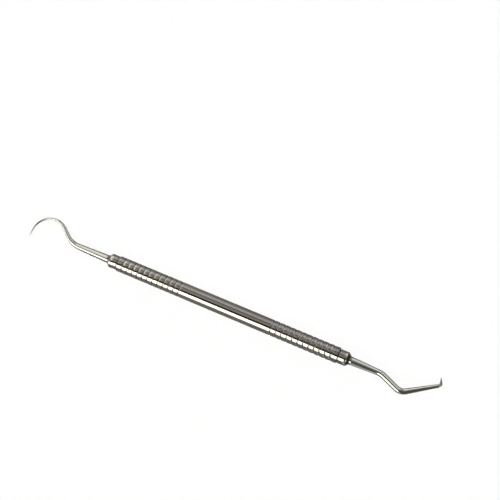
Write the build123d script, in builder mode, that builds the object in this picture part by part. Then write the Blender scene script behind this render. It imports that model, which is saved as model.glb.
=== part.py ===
"""Double-ended dental explorer: a hollow ringed handle, two ferrules and two working ends.

The instrument lies in one plane, the instrument plane. In it "along" runs down the handle and
"across" is square to the handle. The hook end points along -X and the angled end along +X.
At rest the handle lies on Z = 0 and the instrument is rolled about the handle until the crown
of its hook touches Z = 0 too. The angled end's point is then just clear of Z = 0.
"""

from math import asin, cos, degrees, hypot, radians, sin
import os
from build123d import *

# Handle tube
HANDLE_LENGTH = 100.0  # from one ferrule's mouth to the other's
HANDLE_DIAMETER = 6.0
BORE_DIAMETER = 4.4
RIM_CHAMFER = 0.15

# Ring grooves, in one zone at each end of the tube, with a crowned bead between two grooves
GROOVES = 12  # in a zone
GROOVE_PITCH = 2.2
GROOVE_WIDTH = 0.5
GROOVE_DEPTH = 0.2
FIRST_GROOVE = 2.4  # from the tube's rim to the middle of the first groove
BEAD_CROWN = 0.02  # from the edge of a bead up to its top

# Ferrules
COLLAR_LENGTH = 4.4  # what shows outside the tube, nose included
COLLAR_DIAMETER = 5.4
COLLAR_ROUNDING = 0.15
RELIEF_WIDTH = 0.3  # a shadow line turned into the collar where it meets the tube
RELIEF_DEPTH = 0.25
NOSE_LENGTH = 1.15
MOUTH_DIAMETER = 3.3
SPIGOT_LENGTH = 8.0  # inside the tube
SPIGOT_LEAD = 0.3

# Tangs, which hold the working ends in the ferrules
TANG_DIAMETER = 2.2
TANG_LENGTH = 9.0
TANG_LEAD = 0.2

# Working ends, from the ferrule's mouth to the point. A run is its length, how far it turns
# towards "across" in degrees, and the diameter that it tapers to.
HOOK_ROOT_DIAMETER = 3.1
HOOK_RUNS = [
    (13.2, 0, 2.3),
    (6.3, 42, 1.6),
    (3.3, 0, 1.4),
    (7.2, -59, 0.85),
    (9.0, -66, 0.5),
    (3.0, 0, 0.12),
]
ANGLED_ROOT_DIAMETER = 3.2
ANGLED_RUNS = [
    (10.8, 0, 2.35),
    (3.2, -22.5, 2.35),
    (5.7, 0, 2.3),
    (3.8, 55, 2.2),
    (12.0, 0, 1.25),
    (1.15, 77, 0.95),
    (2.2, 0, 0.12),
]
BEND_STEP = 10.0  # how far a bend turns between two sections, in degrees

handle_radius = HANDLE_DIAMETER / 2
tube_end = HANDLE_LENGTH / 2 - COLLAR_LENGTH


def sections(root_diameter, runs):
    """The sections of a working end as (along, across, heading, radius), in a list for each run.

    A run starts with the section that the run before it ends with. A straight run has two.
    """
    along, across, heading, radius = HANDLE_LENGTH / 2, 0.0, 0.0, root_diameter / 2
    found = []
    for length, turn, end_diameter in runs:
        steps = max(round(abs(turn) / BEND_STEP), 1)
        half_turn = turn / steps / 2
        chord = length / steps
        if turn:
            chord *= sin(radians(half_turn)) / radians(half_turn)
        taper = (end_diameter / 2 - radius) / steps
        run = [(along, across, heading, radius)]
        for _ in range(steps):
            heading += half_turn
            along += chord * cos(radians(heading))
            across += chord * sin(radians(heading))
            heading += half_turn
            radius += taper
            run.append((along, across, heading, radius))
        found.append(run)
    return found


def to_hook_side(run):
    """A run of sections turned to point down the other end of the handle."""
    return [(-along, across, 180 - heading, radius) for along, across, heading, radius in run]


hook_sections = [to_hook_side(run) for run in sections(HOOK_ROOT_DIAMETER, HOOK_RUNS)]
angled_sections = sections(ANGLED_ROOT_DIAMETER, ANGLED_RUNS)
both_ends = [section for run in hook_sections + angled_sections for section in run]

# The roll about the handle at which the first section touches the surface under the handle
bent_sections = [section for section in both_ends if section[1] > handle_radius]
ROLL = min(degrees(asin((handle_radius - r) / c)) for a, c, h, r in bent_sections)


def span_middle(places):
    """The middle of the span that a list of places and half widths covers."""
    return (max(p + half for p, half in places) + min(p - half for p, half in places)) / 2


# How far each section reaches along X and, once rolled, along Y
reach_x = [(a, r * abs(sin(radians(h)))) for a, c, h, r in both_ends]
reach_y = [
    (c * cos(radians(ROLL)), r * hypot(cos(radians(h)), sin(radians(h)) * sin(radians(ROLL))))
    for a, c, h, r in both_ends
]

# The instrument plane starts at the middle of the handle, with its x along the handle. It stands
# where the whole instrument is centred on X = 0 and Y = 0 and rests on Z = 0.
INSTRUMENT = Plane(
    origin=(-span_middle(reach_x), -span_middle(reach_y), handle_radius),
    x_dir=(1, 0, 0),
    z_dir=(0, sin(radians(ROLL)), cos(radians(ROLL))),
)

# What is round about the handle's axis is turned from an outline on a level plane
TURNING = Plane(origin=INSTRUMENT.origin, x_dir=(1, 0, 0), z_dir=(0, 0, 1))
HANDLE_AXIS = Axis(TURNING.origin, TURNING.x_dir)


def groove_zone(start):
    """The outline of a zone of grooves, from half a bead before it to half a bead after it."""
    half_bead = (GROOVE_PITCH - GROOVE_WIDTH) / 2
    edge = handle_radius - BEAD_CROWN
    end = start + GROOVES * GROOVE_PITCH
    TangentArc((start, handle_radius), (start + half_bead, edge), tangent=(1, 0))
    for number in range(GROOVES):
        left = start + half_bead + number * GROOVE_PITCH
        right = left + GROOVE_WIDTH
        ThreePointArc(
            (left, edge), ((left + right) / 2, handle_radius - GROOVE_DEPTH), (right, edge)
        )
        if number < GROOVES - 1:
            following = left + GROOVE_PITCH
            ThreePointArc((right, edge), (right + half_bead, handle_radius), (following, edge))
    TangentArc((end, handle_radius), (end - half_bead, edge), tangent=(-1, 0))


# Handle tube, turned from one outline
zone_start = -tube_end + FIRST_GROOVE - GROOVE_PITCH / 2
zone_end = zone_start + GROOVES * GROOVE_PITCH
with BuildPart() as handle_tube:
    with BuildSketch(TURNING):
        with BuildLine():
            groove_zone(zone_start)
            Line((zone_end, handle_radius), (-zone_end, handle_radius))
            groove_zone(-zone_end)
            for side in (-1, 1):
                Polyline(
                    (side * zone_start, handle_radius),
                    (-side * (tube_end - RIM_CHAMFER), handle_radius),
                    (-side * tube_end, handle_radius - RIM_CHAMFER),
                    (-side * tube_end, BORE_DIAMETER / 2),
                    (0, BORE_DIAMETER / 2),
                )
        make_face()
    revolve(axis=HANDLE_AXIS)


def build_ferrule(side):
    """A ferrule: a collar with a conical nose outside the tube and a spigot pressed inside it.

    side is -1 at the hook end and 1 at the angled end.
    """
    mouth = HANDLE_LENGTH / 2
    spigot_end = tube_end - SPIGOT_LENGTH
    outline = [
        (mouth, TANG_DIAMETER / 2),
        (mouth, MOUTH_DIAMETER / 2),
        (mouth - NOSE_LENGTH, COLLAR_DIAMETER / 2),
        (tube_end + RELIEF_WIDTH, COLLAR_DIAMETER / 2),
        (tube_end + RELIEF_WIDTH, COLLAR_DIAMETER / 2 - RELIEF_DEPTH),
        (tube_end, COLLAR_DIAMETER / 2 - RELIEF_DEPTH),
        (tube_end, BORE_DIAMETER / 2),
        (spigot_end + SPIGOT_LEAD, BORE_DIAMETER / 2),
        (spigot_end, BORE_DIAMETER / 2 - SPIGOT_LEAD),
        (spigot_end, TANG_DIAMETER / 2),
    ]
    with BuildPart() as ferrule:
        with BuildSketch(TURNING):
            with BuildLine():
                Polyline(*[(side * along, radius) for along, radius in outline], close=True)
            make_face()
        revolve(axis=HANDLE_AXIS)
        collar_edges = ferrule.edges().filter_by(GeomType.CIRCLE).group_by(SortBy.RADIUS)[-1]
        fillet(collar_edges, radius=COLLAR_ROUNDING)
    return ferrule


def section_plane(along, across, heading):
    """The plane of a section, square to the working end there."""
    turn = radians(heading)
    return Plane(
        origin=INSTRUMENT.from_local_coords((along, across, 0)),
        x_dir=INSTRUMENT.z_dir,
        z_dir=INSTRUMENT.x_dir * cos(turn) + INSTRUMENT.y_dir * sin(turn),
    )


def build_working_end(runs):
    """A working end: a tapered, bent shank down to its point, and a tang behind its shoulder."""
    shoulder = section_plane(*runs[0][0][:3])
    with BuildPart() as working_end:
        for run in runs:
            for along, across, heading, radius in run:
                with BuildSketch(section_plane(along, across, heading)):
                    Circle(radius)
            loft()
        with BuildSketch(shoulder):
            Circle(TANG_DIAMETER / 2)
        extrude(amount=-TANG_LENGTH)
        outward = Axis(shoulder.origin, shoulder.z_dir)
        chamfer(working_end.faces().sort_by(outward)[0].edges(), length=TANG_LEAD)
    return working_end


hook_end_ferrule = build_ferrule(-1)
angled_end_ferrule = build_ferrule(1)
hook_working_end = build_working_end(hook_sections)
angled_working_end = build_working_end(angled_sections)

handle_tube.part.label = "handle_tube"
hook_end_ferrule.part.label = "hook_end_ferrule"
angled_end_ferrule.part.label = "angled_end_ferrule"
hook_working_end.part.label = "hook_working_end"
angled_working_end.part.label = "angled_working_end"

os.makedirs("parts", exist_ok=True)
for piece in (
    handle_tube,
    hook_end_ferrule,
    angled_end_ferrule,
    hook_working_end,
    angled_working_end,
):
    export_step(piece.part, f"parts/{piece.part.label}.step")
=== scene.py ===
"""Looks of the double-ended dental explorer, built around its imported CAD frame.

Lengths of the instrument are in millimetres, as in the CAD, and every mesh is made in metres.
Lights, the floor and the camera's clipping are in metres. The instrument lies in one plane.
"Along" runs down the handle, "across" is square to it in that plane and "normal" is square to
the plane. Side is -1 for the hook end and 1 for the angled end.
"""

import math

import bpy
from mathutils import Matrix, Vector


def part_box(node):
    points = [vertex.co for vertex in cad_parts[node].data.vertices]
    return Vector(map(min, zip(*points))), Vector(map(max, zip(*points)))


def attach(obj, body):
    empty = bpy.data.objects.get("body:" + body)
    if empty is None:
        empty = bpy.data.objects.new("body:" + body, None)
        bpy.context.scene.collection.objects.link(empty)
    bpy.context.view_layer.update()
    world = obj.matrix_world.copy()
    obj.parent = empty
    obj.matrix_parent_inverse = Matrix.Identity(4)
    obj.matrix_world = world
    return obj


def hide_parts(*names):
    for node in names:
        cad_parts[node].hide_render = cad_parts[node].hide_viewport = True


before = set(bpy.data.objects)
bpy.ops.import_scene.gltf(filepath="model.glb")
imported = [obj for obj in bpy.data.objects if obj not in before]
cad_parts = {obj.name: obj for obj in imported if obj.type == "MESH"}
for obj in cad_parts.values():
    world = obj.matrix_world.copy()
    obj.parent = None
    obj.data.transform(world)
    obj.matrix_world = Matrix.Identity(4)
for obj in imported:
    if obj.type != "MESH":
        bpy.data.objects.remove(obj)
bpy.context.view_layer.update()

MM = 0.001

# ---------------------------------------------------------------- dimensions, as in the CAD
HANDLE_LENGTH = 100.0
HANDLE_RADIUS = 3.0
BORE_RADIUS = 2.2
RIM_CHAMFER = 0.15
GROOVES = 12
GROOVE_PITCH = 2.2
GROOVE_WIDTH = 0.5
GROOVE_DEPTH = 0.2
FIRST_GROOVE = 2.4
BEAD_CROWN = 0.02
COLLAR_LENGTH = 4.4
COLLAR_RADIUS = 2.7
COLLAR_ROUNDING = 0.15
RELIEF_WIDTH = 0.3
RELIEF_DEPTH = 0.25
NOSE_LENGTH = 1.15
MOUTH_RADIUS = 1.65
SPIGOT_LENGTH = 8.0
SPIGOT_LEAD = 0.3
TANG_RADIUS = 1.1
TANG_LENGTH = 9.0
TANG_LEAD = 0.2
TUBE_END = HANDLE_LENGTH / 2 - COLLAR_LENGTH

# A run of a working end is its length, its turn in degrees and the diameter it tapers to
HOOK_ROOT = 3.1
HOOK_RUNS = [
    (13.2, 0, 2.3),
    (6.3, 42, 1.6),
    (3.3, 0, 1.4),
    (7.2, -59, 0.85),
    (9.0, -66, 0.5),
    (3.0, 0, 0.12),
]
ANGLED_ROOT = 3.2
ANGLED_RUNS = [
    (10.8, 0, 2.35),
    (3.2, -22.5, 2.35),
    (5.7, 0, 2.3),
    (3.8, 55, 2.2),
    (12.0, 0, 1.25),
    (1.15, 77, 0.95),
    (2.2, 0, 0.12),
]


def centreline(root_diameter, runs, straight_step=0.75, turn_step=3.0):
    """Stations (along, across, heading, radius) from the ferrule's mouth to the point."""
    along, across, heading, radius = HANDLE_LENGTH / 2, 0.0, 0.0, root_diameter / 2
    stations = [(along, across, heading, radius)]
    for length, turn, end_diameter in runs:
        if turn:
            steps = max(round(abs(turn) / turn_step), 1)
        else:
            steps = max(round(length / straight_step), 1)
        half_turn = turn / steps / 2
        chord = length / steps
        if turn:
            chord *= math.sin(math.radians(half_turn)) / math.radians(half_turn)
        taper = (end_diameter / 2 - radius) / steps
        for _ in range(steps):
            heading += half_turn
            along += chord * math.cos(math.radians(heading))
            across += chord * math.sin(math.radians(heading))
            heading += half_turn
            radius += taper
            stations.append((along, across, heading, radius))
    return stations


hook_line = centreline(HOOK_ROOT, HOOK_RUNS)
angled_line = centreline(ANGLED_ROOT, ANGLED_RUNS)

# The instrument is rolled about its handle until its first bend touches the floor
ROLL = min(
    math.asin((HANDLE_RADIUS - radius) / across)
    for along, across, heading, radius in hook_line + angled_line
    if across > HANDLE_RADIUS
)
tube_low, tube_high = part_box("handle_tube")
MIDDLE = (tube_low + tube_high) / 2
ALONG = Vector((1, 0, 0))
ACROSS = Vector((0, math.cos(ROLL), -math.sin(ROLL)))
NORMAL = Vector((0, math.sin(ROLL), math.cos(ROLL)))


def place(along, across, height=0.0):
    """A point given in millimetres in the instrument's own directions, in the row frame."""
    return MIDDLE + (ALONG * along + ACROSS * across + NORMAL * height) * MM


# ---------------------------------------------------------------- camera
LEAN = math.radians(12.1)  # from the plane's normal towards the angled end
CAMERA_ROLL = math.radians(22.03)
VIEW_DISTANCE = 400.0
AIM_ALONG = 0.01
AIM_ACROSS = 23.68
SENSOR_WIDTH = 36.0
FOCAL_LENGTH = 76.85

scene = bpy.context.scene
scene.view_settings.view_transform = "Standard"
look = -(ALONG * math.sin(LEAN) + NORMAL * math.cos(LEAN))
level_right = (ALONG - look * ALONG.dot(look)).normalized()
level_up = level_right.cross(look)
camera_right = level_right * math.cos(CAMERA_ROLL) + level_up * math.sin(CAMERA_ROLL)
camera_up = level_up * math.cos(CAMERA_ROLL) - level_right * math.sin(CAMERA_ROLL)
camera_data = bpy.data.cameras.new("camera")
camera_data.sensor_width = SENSOR_WIDTH
camera_data.lens = FOCAL_LENGTH
camera_data.clip_start = 0.01
camera_data.clip_end = 20.0
camera = bpy.data.objects.new("camera", camera_data)
scene.collection.objects.link(camera)
attitude = Matrix((camera_right, camera_up, -look)).transposed().to_4x4()
aim = place(AIM_ALONG, AIM_ACROSS)
camera.matrix_world = Matrix.Translation(aim - look * VIEW_DISTANCE * MM) @ attitude
scene.camera = camera


# ---------------------------------------------------------------- materials
class Nodes:
    """Short ways to add and link the nodes of a material or world."""

    def __init__(self, tree):
        self.tree = tree
        tree.nodes.clear()

    def add(self, kind, inputs=None, **settings):
        node = self.tree.nodes.new("ShaderNode" + kind)
        for name, value in settings.items():
            setattr(node, name, value)
        for name, value in (inputs or {}).items():
            if isinstance(value, bpy.types.NodeSocket):
                self.tree.links.new(value, node.inputs[name])
            else:
                node.inputs[name].default_value = value
        return node

    def math(self, operation, first, second=0.0):
        return self.add("Math", {0: first, 1: second}, operation=operation).outputs[0]

    def plus(self, value, other, amount):
        """A value plus an amount of another."""
        return self.math("ADD", value, self.math("MULTIPLY", other, amount))

    def ranged(self, value, low, high, to_low, to_high):
        """A value that goes from to_low to to_high as another goes from low to high."""
        return self.add("MapRange", {
            "Value": value, "From Min": low, "From Max": high, "To Min": to_low, "To Max": to_high,
        }).outputs["Result"]

    def noise(self, vector, scale, detail=3.0, roughness=0.55):
        return self.add("TexNoise", {
            "Vector": vector, "Scale": scale, "Detail": detail, "Roughness": roughness,
        }).outputs["Fac"]

    def stretched(self, vector, scales):
        return self.add(
            "VectorMath", {0: vector, 1: scales}, operation="MULTIPLY"
        ).outputs["Vector"]

    def ramp(self, value, stops):
        """A colour that eases from one of the stops, each (position, colour), to the next."""
        node = self.add("ValToRGB", {"Fac": value})
        node.color_ramp.interpolation = "EASE"
        elements = node.color_ramp.elements
        while len(elements) > 1:
            elements.remove(elements[-1])
        elements[0].position, elements[0].color = stops[0][0], (*stops[0][1], 1)
        for position, colour in stops[1:]:
            elements.new(position).color = (*colour, 1)
        return node.outputs["Color"]

    def mixed(self, share, first, second):
        """A colour that goes from the first to the second as the share goes from 0 to 1."""
        node = self.add("Mix", data_type="RGBA")
        for socket, value in ((0, share), (6, first), (7, second)):
            if isinstance(value, bpy.types.NodeSocket):
                self.tree.links.new(value, node.inputs[socket])
            else:
                node.inputs[socket].default_value = value
        return node.outputs[2]

    def finish(self, shader, output="OutputMaterial"):
        """Link the shader to the output of the material or world."""
        self.tree.links.new(shader.outputs[0], self.add(output).inputs["Surface"])


# Noise scales of the steel, per metre
MOTTLE_SCALE = 420.0
SMEAR_SCALE = 95.0
SPECK_SCALE = 5200.0
SCRATCH_STRETCH = (900.0, 5200.0, 1.0)
BROAD_LINE_SHARE = 0.22  # of the fine lines' scale

# How much each of them shows
MOST_FILM = 0.55
# Painted shade in recesses: how much of it between specks and on them, how dark it is, and how
# much rougher the polish is there
SHADE_BY_SPECK = (0.3, 0.8)  # between specks and on them
SHADE_DARKENING = 0.3
RECESS_ROUGHNESS = 0.22
SCRATCH_WEAR = 0.35
SCRATCH_BRIGHTENING = 1.22
SCRATCH_ROUGHNESS = 0.1


def steel(name, colour, stain, gloss, line_stretch, line_depth, scratch_depth):
    """Polished steel. Its lines run as line_stretch stretches them over the mesh's own UV map.

    The UV map is in metres: the first coordinate runs down the piece, the second round it.
    gloss is the roughness where the polish is best and where it is worst. The depths are in
    metres.
    """
    material = bpy.data.materials.new(name)
    material.use_nodes = True
    nodes = Nodes(material.node_tree)
    uv = nodes.add("UVMap", uv_map="UVMap").outputs["UV"]
    here = nodes.add("TexCoord").outputs["Object"]
    # How much shade is painted at each point of a piece, in its grooves and joints
    recess_shade = nodes.add("Attribute", attribute_name="recess_shade").outputs["Fac"]

    lines = nodes.noise(nodes.stretched(uv, line_stretch), 1.0, 4.0, 0.65)
    broad_stretch = tuple(scale * BROAD_LINE_SHARE for scale in line_stretch)
    broad_lines = nodes.noise(nodes.stretched(uv, broad_stretch), 1.0, 2.0)
    mottle = nodes.noise(here, MOTTLE_SCALE, 4.0)
    smear = nodes.noise(here, SMEAR_SCALE, 2.0)
    specks = nodes.noise(here, SPECK_SCALE, 2.0, 0.7)
    scratches = nodes.noise(nodes.stretched(uv, SCRATCH_STRETCH), 1.0, 5.0, 0.75)
    scratch = nodes.ranged(scratches, 0.62, 0.74, 0.0, 1.0)

    # Colour: clean steel, with a faint warm film in patches and painted shade, broken up by
    # specks, in recesses
    film = nodes.ranged(mottle, 0.35, 0.72, 0.0, MOST_FILM)
    patched = nodes.mixed(film, (*colour, 1), (*stain, 1))
    shade_colour = tuple(SHADE_DARKENING * channel for channel in stain)
    speckled = nodes.ranged(specks, 0.3, 0.7, *SHADE_BY_SPECK)
    # Painted shade in the grooves and at the joints, broken up by specks
    painted_shade = nodes.math("MINIMUM", nodes.math("MULTIPLY", recess_shade, speckled), 1.0)
    with_painted_shade = nodes.mixed(painted_shade, patched, (*shade_colour, 1))
    bright = tuple(min(1.0, SCRATCH_BRIGHTENING * channel) for channel in colour)
    worn = nodes.math("MULTIPLY", scratch, SCRATCH_WEAR)
    finished = nodes.mixed(worn, with_painted_shade, (*bright, 1))

    # Polish: broken up by fine lines, smears, a rougher finish where shade is painted in recesses,
    # and scratches
    haze = nodes.plus(nodes.math("MULTIPLY", lines, 0.45), smear, 0.55)
    polish = nodes.ranged(haze, 0.32, 0.68, *gloss)
    polish = nodes.plus(polish, painted_shade, RECESS_ROUGHNESS)
    polish = nodes.plus(polish, scratch, SCRATCH_ROUGHNESS)

    relief = nodes.plus(nodes.math("MULTIPLY", lines, 0.6), broad_lines, 0.4)
    bump = nodes.add("Bump", {
        "Strength": 1.0, "Distance": line_depth, "Height": relief,
    }).outputs["Normal"]
    bump = nodes.add("Bump", {
        "Strength": 1.0, "Distance": scratch_depth, "Height": scratch, "Normal": bump,
    }, invert=True).outputs["Normal"]
    nodes.finish(nodes.add("BsdfPrincipled", {
        "Base Color": finished, "Metallic": 1.0, "Roughness": polish, "Normal": bump,
    }))
    return material


handle_steel = steel(
    "turned_handle_steel", (0.61, 0.60, 0.58), (0.53, 0.51, 0.47), (0.05, 0.12),
    (14000.0, 60.0, 1.0), 1.0e-6, 0.8e-6,
)
ferrule_steel = steel(
    "turned_ferrule_steel", (0.62, 0.61, 0.59), (0.53, 0.51, 0.475), (0.05, 0.12),
    (12000.0, 60.0, 1.0), 0.8e-6, 0.6e-6,
)
tip_steel = steel(
    "ground_tip_steel", (0.66, 0.655, 0.645), (0.58, 0.565, 0.54), (0.05, 0.13),
    (350.0, 9000.0, 1.0), 0.8e-6, 0.6e-6,
)


# ---------------------------------------------------------------- mesh building
SHARP_ANGLE = math.radians(32)
CORNER_ANGLE = math.radians(25)  # what turns by less isn't a corner


def finish_piece(name, points, faces, uvs, recess_shade, material, node):
    """The mesh object of one piece, which stands for its CAD node and rides on the body."""
    mesh = bpy.data.meshes.new(name)
    mesh.from_pydata(points, [], faces)
    mesh.validate()
    layer = mesh.uv_layers.new(name="UVMap")
    for polygon in mesh.polygons:
        for loop, uv in zip(polygon.loop_indices, uvs[polygon.index]):
            layer.data[loop].uv = uv
    # How much shade is painted at each point, read by the steel material
    attribute = mesh.attributes.new("recess_shade", "FLOAT", "POINT")
    attribute.data.foreach_set("value", recess_shade)
    mesh.shade_smooth()
    mesh.set_sharp_from_angle(angle=SHARP_ANGLE)
    mesh.materials.append(material)
    piece = bpy.data.objects.new(name, mesh)
    scene.collection.objects.link(piece)
    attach(piece, "root")
    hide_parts(node)


def wrap(rings, segments, closed):
    """Quads and their UVs round a list of rings, each (points, distance down the piece, radius).

    closed joins the last ring to the first. Otherwise each end is a fan round its middle.
    """
    points = [point for ring, _, _ in rings for point in ring]
    faces, uvs = [], []
    count = len(rings)
    for row in range(count if closed else count - 1):
        following = (row + 1) % count
        _, start, start_radius = rings[row]
        _, end, end_radius = rings[following]
        for column in range(segments):
            right = (column + 1) % segments
            faces.append((
                row * segments + column, row * segments + right,
                following * segments + right, following * segments + column,
            ))
            angle = math.tau * column / segments
            next_angle = math.tau * (column + 1) / segments
            uvs.append((
                (start * MM, angle * start_radius * MM),
                (start * MM, next_angle * start_radius * MM),
                (end * MM, next_angle * end_radius * MM),
                (end * MM, angle * end_radius * MM),
            ))
    if not closed:
        for row in (0, count - 1):
            ring, distance, radius = rings[row]
            points.append(sum(ring, Vector()) / segments)
            for column in range(segments):
                right = (column + 1) % segments
                corners = (row * segments + column, row * segments + right)
                if row == 0:
                    corners = corners[::-1]
                faces.append((*corners, len(points) - 1))
                start, end = (distance * MM, 0.0), (distance * MM, radius * MM)
                uvs.append((start, end, start))
    return points, faces, uvs


def lathe(name, outline, segments, material, node, shade_of):
    """A piece turned about the handle's axis from a closed outline of (along, radius).

    The last argument gives the painted shade at a point of the outline, from 0 up.
    """
    rings = []
    distance = 0.0
    for number, (along, radius) in enumerate(outline):
        if number:
            distance += math.dist(outline[number - 1], (along, radius))
        ring = []
        for column in range(segments):
            angle = math.tau * (column + 0.5) / segments
            ring.append(place(along, radius * math.sin(angle), radius * math.cos(angle)))
        rings.append((ring, distance, radius))
    points, faces, uvs = wrap(rings, segments, True)
    recess_shade = []
    for along, radius in outline:
        recess_shade += [shade_of(along, radius)] * segments
    finish_piece(name, points, faces, uvs, recess_shade, material, node)


def arc(start, end, bulge, steps):
    """Points after start up to end on the arc that rises by bulge over its chord's middle."""
    chord = math.dist(start, end)
    radius = (chord * chord / 4 + bulge * bulge) / (2 * abs(bulge))
    half = math.asin(min(1.0, chord / 2 / radius))
    middle = ((start[0] + end[0]) / 2, (start[1] + end[1]) / 2)
    ahead = ((end[0] - start[0]) / chord, (end[1] - start[1]) / chord)
    side = (-ahead[1], ahead[0])
    sign = 1 if bulge > 0 else -1
    found = []
    for step in range(1, steps + 1):
        angle = half * (2 * step / steps - 1)
        reach = radius * math.sin(angle)
        rise = sign * (radius * math.cos(angle) - radius * math.cos(half))
        found.append((
            middle[0] + ahead[0] * reach + side[0] * rise,
            middle[1] + ahead[1] * reach + side[1] * rise,
        ))
    return found


def corner(before, here, after, radius, share, steps):
    """Points round a corner. The rounding takes at most a share of each line beside it."""
    back, ahead = before - here, after - here
    start = here + back.normalized() * min(radius, back.length * share)
    end = here + ahead.normalized() * min(radius, ahead.length * share)
    points = []
    for step in range(steps + 1):
        t = step / steps
        points.append(tuple(start * (1 - t) ** 2 + here * 2 * t * (1 - t) + end * t * t))
    return points


def rounded(outline, radius):
    """A closed outline of (along, radius) corners with every corner rounded off."""
    found = []
    for number, here in enumerate(outline):
        before, after = outline[number - 1], outline[(number + 1) % len(outline)]
        reach = min(
            radius,
            (Vector(before) - Vector(here)).length * 0.4,
            (Vector(after) - Vector(here)).length * 0.4,
        )
        found += corner(Vector(before), Vector(here), Vector(after), reach, 0.4, 4)
    return found


def crest_rounded(line, radius):
    """An open line with its corners rounded off."""
    found = [line[0]]
    for before, here, after in zip(line, line[1:], line[2:]):
        before, here, after = Vector(before), Vector(here), Vector(after)
        if (here - before).angle(after - here) < CORNER_ANGLE:
            found.append(tuple(here))
        else:
            found += corner(before, here, after, radius, 0.7, 3)
    found.append(line[-1])
    return found


# ---------------------------------------------------------------- handle tube
HANDLE_SEGMENTS = 96
PLAIN_STEPS = 20  # rings on the plain middle
BORE_STEPS = 12
ARC_STEPS = 8  # on a groove or a bead
CREST_ROUNDING = 0.06
GROOVE_SHADE = 0.5  # most painted shade in a groove
JOINT_SHADE = 1.8  # most painted shade where two pieces meet
JOINT_REACH = 0.2  # how far from the tube's end that painted shade goes


def groove_zone(start):
    """The outline of a zone of ring grooves with a crowned bead between two grooves."""
    half_bead = (GROOVE_PITCH - GROOVE_WIDTH) / 2
    edge = HANDLE_RADIUS - BEAD_CROWN
    end = start + GROOVES * GROOVE_PITCH
    line = [(start, HANDLE_RADIUS)]
    line += [
        (start + half_bead * share, HANDLE_RADIUS - BEAD_CROWN * share**2)
        for share in (0.25, 0.5, 0.75, 1.0)
    ]
    for number in range(GROOVES):
        left = (start + half_bead + number * GROOVE_PITCH, edge)
        right = (left[0] + GROOVE_WIDTH, edge)
        line += arc(left, right, BEAD_CROWN - GROOVE_DEPTH, ARC_STEPS)
        if number < GROOVES - 1:
            following = (left[0] + GROOVE_PITCH, edge)
            line += arc(right, following, BEAD_CROWN, ARC_STEPS)
    line += [
        (end - half_bead * share, HANDLE_RADIUS - BEAD_CROWN * share**2)
        for share in (0.75, 0.5, 0.25, 0.0)
    ]
    return crest_rounded(line, CREST_ROUNDING)


def rim(side):
    """From the outside, over the eased chamfer at a rim of the tube and into its bore."""
    return [
        (side * (TUBE_END - RIM_CHAMFER * 1.7), HANDLE_RADIUS),
        (side * (TUBE_END - RIM_CHAMFER), HANDLE_RADIUS),
        (side * (TUBE_END - RIM_CHAMFER * 0.45), HANDLE_RADIUS - RIM_CHAMFER * 0.4),
        (side * TUBE_END, HANDLE_RADIUS - RIM_CHAMFER),
        (side * TUBE_END, HANDLE_RADIUS - RIM_CHAMFER * 1.7),
        (side * TUBE_END, BORE_RADIUS),
    ]


def tube_shade(along, radius):
    """Painted shade in the grooves and at the joints with the ferrules, none in the bore."""
    if radius < BORE_RADIUS + 0.1:
        return 0.0
    if abs(along) > TUBE_END - JOINT_REACH:
        return min(JOINT_SHADE, (HANDLE_RADIUS - radius) / 0.06)
    depth = (HANDLE_RADIUS - BEAD_CROWN - radius) / GROOVE_DEPTH
    return min(GROOVE_SHADE, max(0.0, depth))


zone_start = -TUBE_END + FIRST_GROOVE - GROOVE_PITCH / 2
zone_end = zone_start + GROOVES * GROOVE_PITCH
plain = [
    (zone_end + 2 * abs(zone_end) * step / PLAIN_STEPS, HANDLE_RADIUS)
    for step in range(1, PLAIN_STEPS)
]
outer = groove_zone(zone_start) + plain + groove_zone(-zone_end)
bore = [(TUBE_END * (1 - 2 * step / BORE_STEPS), BORE_RADIUS) for step in range(1, BORE_STEPS)]
lathe(
    "ringed_handle", rim(-1)[::-1] + outer + rim(1) + bore, HANDLE_SEGMENTS, handle_steel,
    "handle_tube", tube_shade,
)


# ---------------------------------------------------------------- ferrules
COLLAR_SEGMENTS = 72
JOINT_GAP = 0.001  # keeps the collar's faces off the tube's


def collar_shade(along, radius):
    """Painted shade in the shadow line where the collar meets the tube."""
    in_relief = abs(along) < TUBE_END + RELIEF_WIDTH + 0.02
    at_depth = BORE_RADIUS + 0.05 < radius < COLLAR_RADIUS - 0.06
    return JOINT_SHADE if in_relief and at_depth else 0.0


def ferrule(side, name, node):
    """A collar with a conical nose outside the tube and a spigot inside it."""
    mouth = HANDLE_LENGTH / 2
    spigot_end = TUBE_END - SPIGOT_LENGTH
    corners = [
        (mouth, MOUTH_RADIUS),
        (mouth - NOSE_LENGTH, COLLAR_RADIUS),
        (TUBE_END + RELIEF_WIDTH, COLLAR_RADIUS),
        (TUBE_END + RELIEF_WIDTH, COLLAR_RADIUS - RELIEF_DEPTH),
        (TUBE_END + JOINT_GAP, COLLAR_RADIUS - RELIEF_DEPTH),
        (TUBE_END + JOINT_GAP, BORE_RADIUS),
        (spigot_end + SPIGOT_LEAD, BORE_RADIUS),
        (spigot_end, BORE_RADIUS - SPIGOT_LEAD),
        (spigot_end, TANG_RADIUS),
        (mouth, TANG_RADIUS),
    ]
    outline = rounded(corners, COLLAR_ROUNDING)
    if side > 0:
        outline.reverse()
    outline = [(side * along, radius) for along, radius in outline]
    lathe(name, outline, COLLAR_SEGMENTS, ferrule_steel, node, collar_shade)


ferrule(-1, "hook_end_collar", "hook_end_ferrule")
ferrule(1, "angled_end_collar", "angled_end_ferrule")


# ---------------------------------------------------------------- working ends
SHANK_SEGMENTS = 40
POINT_STEPS = 4
SHOULDER_EASE = [(0.0, 0.06), (0.02, 0.015), (0.07, 0.004)]  # (past the mouth, off the radius)


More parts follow.
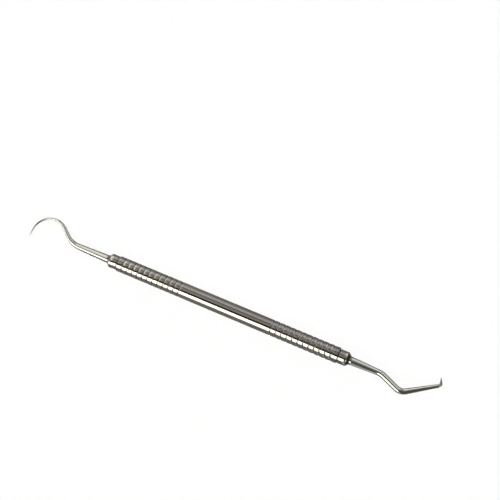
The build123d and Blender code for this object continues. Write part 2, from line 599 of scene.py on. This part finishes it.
def working_end(side, name, node, stations):
    """A shank swept along its centreline, with a rounded point and a tang in the ferrule."""
    mouth, root_radius = HANDLE_LENGTH / 2, stations[0][3]
    swept = [
        (mouth - TANG_LENGTH, 0.0, 0.0, TANG_RADIUS - TANG_LEAD),
        (mouth - TANG_LENGTH + TANG_LEAD, 0.0, 0.0, TANG_RADIUS),
        (mouth, 0.0, 0.0, TANG_RADIUS),
    ]
    swept += [(mouth + past, 0.0, 0.0, root_radius - off) for past, off in SHOULDER_EASE]
    swept += stations[1:]
    along, across, heading, radius = swept.pop()
    turn = math.radians(heading)
    for step in range(POINT_STEPS + 1):
        angle = math.pi / 2 * step / (POINT_STEPS + 1)
        back = radius * (1 - math.sin(angle))
        swept.append((
            along - back * math.cos(turn), across - back * math.sin(turn), heading,
            radius * math.cos(angle),
        ))
    rings = []
    distance = 0.0
    for number, (along, across, heading, radius) in enumerate(swept):
        if number:
            distance += math.dist(swept[number - 1][:2], (along, across))
        turn = math.radians(heading)
        ring = []
        for column in range(SHANK_SEGMENTS):
            angle = side * math.tau * column / SHANK_SEGMENTS
            sideways = radius * math.sin(angle)
            ring.append(place(
                side * (along - sideways * math.sin(turn)), across + sideways * math.cos(turn),
                -radius * math.cos(angle),
            ))
        rings.append((ring, distance, radius))
    points, faces, uvs = wrap(rings, SHANK_SEGMENTS, False)
    # Painted shade on the tang and where the shank leaves the collar
    recess_shade = []
    for _, distance, _ in rings:
        recess_shade += [1.0 if distance < TANG_LENGTH + 0.2 else 0.0] * SHANK_SEGMENTS
    recess_shade += [0.0, 0.0]  # the middles of the two ends
    finish_piece(name, points, faces, uvs, recess_shade, tip_steel, node)


working_end(-1, "hook_shank_and_point", "hook_working_end", hook_line)
working_end(1, "angled_shank_and_point", "angled_working_end", angled_line)


# ---------------------------------------------------------------- floor
FLOOR_HALF = 2.5


def make_floor():
    """A plain pale floor that polished steel doesn't mirror."""
    mesh = bpy.data.meshes.new("floor")
    corners = [
        (-FLOOR_HALF, -FLOOR_HALF, 0), (FLOOR_HALF, -FLOOR_HALF, 0),
        (FLOOR_HALF, FLOOR_HALF, 0), (-FLOOR_HALF, FLOOR_HALF, 0),
    ]
    mesh.from_pydata(corners, [], [(0, 1, 2, 3)])
    material = bpy.data.materials.new("pale_floor")
    material.use_nodes = True
    nodes = Nodes(material.node_tree)
    grain = nodes.noise(nodes.add("TexCoord").outputs["Object"], 900.0, 3.0)
    colour = nodes.mixed(
        nodes.ranged(grain, 0.3, 0.7, 0.0, 1.0), (0.86, 0.865, 0.875, 1), (0.88, 0.885, 0.895, 1)
    )
    nodes.finish(nodes.add("BsdfPrincipled", {
        "Base Color": colour, "Roughness": 0.85, "Specular IOR Level": 0.2,
    }))
    mesh.materials.append(material)
    floor = bpy.data.objects.new("floor", mesh)
    scene.collection.objects.link(floor)
    floor.visible_glossy = False


make_floor()


# ---------------------------------------------------------------- lights
# A long window, in three lengths, lies along the handle on the far side of the normal from the
# hook's crown. Polished steel mirrors it as a white band, and it doesn't light the floor.
WINDOW_DISTANCE = 2.6
WINDOW_RADIANCE = 3.5
WINDOW_COLOUR = (1.0, 0.97, 0.82)
WINDOWS = [  # name, degrees from the normal, width, height, shift along the handle
    ("key_window", 41.5, 0.81, 1.66, -0.52),
    ("hook_window", 48, 6.88, 1.5, -4.365),
    ("angled_window", 43.5, 4.6, 1.5, 4.3),
]

# The ceiling lights the floor alone, most of it without a shadow
CEILING_DIRECTION = Vector((0.02, -0.02, 1))
CEILING_DISTANCE = 2.0
CEILING_SIZE = 12.0
CEILING_COLOUR = (1.0, 0.998, 0.985)
FILL_RADIANCE = 1.06
SOFT_RADIANCE = 0.13


def area_light(name, direction, distance, width, height, radiance, colour, shift=0.0):
    """A soft rectangular light that faces the object, its width and shift along the handle."""
    data = bpy.data.lights.new(name, "AREA")
    data.shape = "RECTANGLE"
    data.size, data.size_y = width, height
    data.energy = radiance * math.pi * width * height
    data.color = colour
    light = bpy.data.objects.new(name, data)
    scene.collection.objects.link(light)
    facing = direction.normalized()
    wide = (ALONG - facing * ALONG.dot(facing)).normalized()
    tall = facing.cross(wide)
    light.matrix_world = (
        Matrix.Translation(MIDDLE + facing * distance + wide * shift)
        @ Matrix((wide, tall, facing)).transposed().to_4x4()
    )
    light.visible_camera = False
    return light


for name, degrees, width, height, shift in WINDOWS:
    lean = math.radians(degrees)
    window = area_light(
        name, NORMAL * math.cos(lean) - ACROSS * math.sin(lean), WINDOW_DISTANCE, width, height,
        WINDOW_RADIANCE, WINDOW_COLOUR, shift,
    )
    window.visible_diffuse = False

for name, radiance in (("ceiling_fill", FILL_RADIANCE), ("ceiling_soft", SOFT_RADIANCE)):
    ceiling = area_light(
        name, CEILING_DIRECTION, CEILING_DISTANCE, CEILING_SIZE, CEILING_SIZE, radiance,
        CEILING_COLOUR,
    )
    ceiling.visible_glossy = False
    if name == "ceiling_fill":
        ceiling.data.use_shadow = False
        ceiling.data.cycles.use_multiple_importance_sampling = False


# ---------------------------------------------------------------- surroundings
# What polished steel mirrors, as a colour for each angle round the handle. The angle is 0 along
# the normal, and positive on the window's side. It changes with how far a direction leans along
# the handle, from the hook end at -1 to the angled end at 1.
FACING_HANDLE = [
    (-180, (0.20, 0.20, 0.195)),
    (-125, (0.20, 0.195, 0.185)),
    (-100, (0.27, 0.26, 0.245)),
    (-66, (0.64, 0.615, 0.59)),
    (-38, (0.20, 0.18, 0.165)),
    (-15, (0.40, 0.37, 0.335)),
    (5, (0.012, 0.010, 0.007)),
    (24, (0.02, 0.018, 0.012)),
    (38, (0.45, 0.44, 0.41)),
    (68, (0.50, 0.49, 0.46)),
    (80, (0.21, 0.205, 0.17)),
    (104, (0.22, 0.215, 0.18)),
    (140, (0.26, 0.255, 0.235)),
    (180, (0.20, 0.20, 0.195)),
]
FACING_ANGLED_SHANK = [
    (-180, (0.20, 0.20, 0.19)),
    (-115, (0.20, 0.20, 0.19)),
    (-80, (1.15, 1.14, 1.12)),
    (-52, (0.68, 0.68, 0.66)),
    (-32, (0.36, 0.355, 0.345)),
    (-10, (0.12, 0.118, 0.11)),
    (6, (0.08, 0.078, 0.072)),
    (36, (0.08, 0.078, 0.072)),
    (54, (0.18, 0.178, 0.17)),
    (72, (0.42, 0.415, 0.405)),
    (95, (0.78, 0.775, 0.76)),
    (125, (0.24, 0.235, 0.22)),
    (180, (0.20, 0.20, 0.19)),
]
FACING_HOOK_SHANK = [
    (-180, (0.14, 0.14, 0.135)),
    (-100, (0.20, 0.195, 0.185)),
    (-78, (1.20, 1.15, 1.08)),
    (-30, (1.05, 0.99, 0.91)),
    (-8, (0.84, 0.78, 0.70)),
    (6, (0.12, 0.11, 0.095)),
    (20, (0.12, 0.11, 0.095)),
    (34, (0.62, 0.60, 0.56)),
    (72, (0.62, 0.60, 0.56)),
    (84, (0.10, 0.095, 0.085)),
    (140, (0.12, 0.12, 0.115)),
    (180, (0.14, 0.14, 0.135)),
]
FACING_BENDS = [
    (-180, (0.14, 0.14, 0.135)),
    (-100, (0.20, 0.198, 0.19)),
    (-76, (0.95, 0.94, 0.92)),
    (-45, (0.72, 0.71, 0.69)),
    (-18, (0.38, 0.375, 0.36)),
    (-2, (0.09, 0.088, 0.082)),
    (75, (0.09, 0.088, 0.082)),
    (110, (0.22, 0.218, 0.21)),
    (180, (0.14, 0.14, 0.135)),
]
PAST_HOOK_END = [
    (-180, (0.20, 0.20, 0.195)),
    (-90, (0.26, 0.255, 0.24)),
    (-55, (0.50, 0.48, 0.45)),
    (-30, (0.04, 0.038, 0.034)),
    (8, (0.03, 0.028, 0.024)),
    (24, (0.40, 0.39, 0.365)),
    (90, (0.46, 0.45, 0.43)),
    (150, (0.36, 0.355, 0.34)),
    (180, (0.20, 0.20, 0.195)),
]
PAST_ANGLED_END = (0.04, 0.038, 0.034, 1)
DIMMING = (-0.30, -0.10, 1.05, 0.72)  # of what faces the handle, from one lean to another
FLOOR_SHARE = 0.15  # of the surroundings' light that the floor gets
BACKDROP = (0.93, 0.93, 0.93, 1)  # what the camera sees past the floor

world = bpy.data.worlds.new("studio")
scene.world = world
world.use_nodes = True
sky = Nodes(world.node_tree)
rolled = sky.add(
    "VectorRotate",
    {"Vector": sky.add("TexCoord").outputs["Generated"], "Angle": ROLL},
    rotation_type="X_AXIS",
).outputs["Vector"]
parts = sky.add("SeparateXYZ", {"Vector": rolled}).outputs
angle = sky.math("ARCTAN2", sky.math("MULTIPLY", parts["Y"], -1.0), parts["Z"])
turned = sky.ranged(angle, -math.pi, math.pi, 0.0, 1.0)


def round_handle(stops):
    """The colours of a list of (degrees, colour) round the handle."""
    return sky.ramp(turned, [((degrees + 180) / 360, colour) for degrees, colour in stops])


dimmed = sky.ranged(parts["X"], *DIMMING)
room = sky.add(
    "VectorMath", {0: round_handle(FACING_HANDLE), "Scale": dimmed}, operation="SCALE"
).outputs["Vector"]
for begin, full, colour in (  # the lean at which a colour begins, and at which it is full
    (-0.10, -0.02, round_handle(FACING_ANGLED_SHANK)),
    (-0.31, -0.36, round_handle(FACING_HOOK_SHANK)),
    (0.06, 0.12, round_handle(FACING_BENDS)),
    (-0.60, -0.70, round_handle(PAST_HOOK_END)),
    (0.50, 0.62, PAST_ANGLED_END),
):
    room = sky.mixed(sky.ranged(parts["X"], begin, full, 0.0, 1.0), room, colour)
light_path = sky.add("LightPath").outputs
seen = sky.mixed(light_path["Is Camera Ray"], room, BACKDROP)
strength = sky.ranged(light_path["Is Diffuse Ray"], 0.0, 1.0, 1.0, FLOOR_SHARE)
sky.finish(sky.add("Background", {"Color": seen, "Strength": strength}), "OutputWorld")
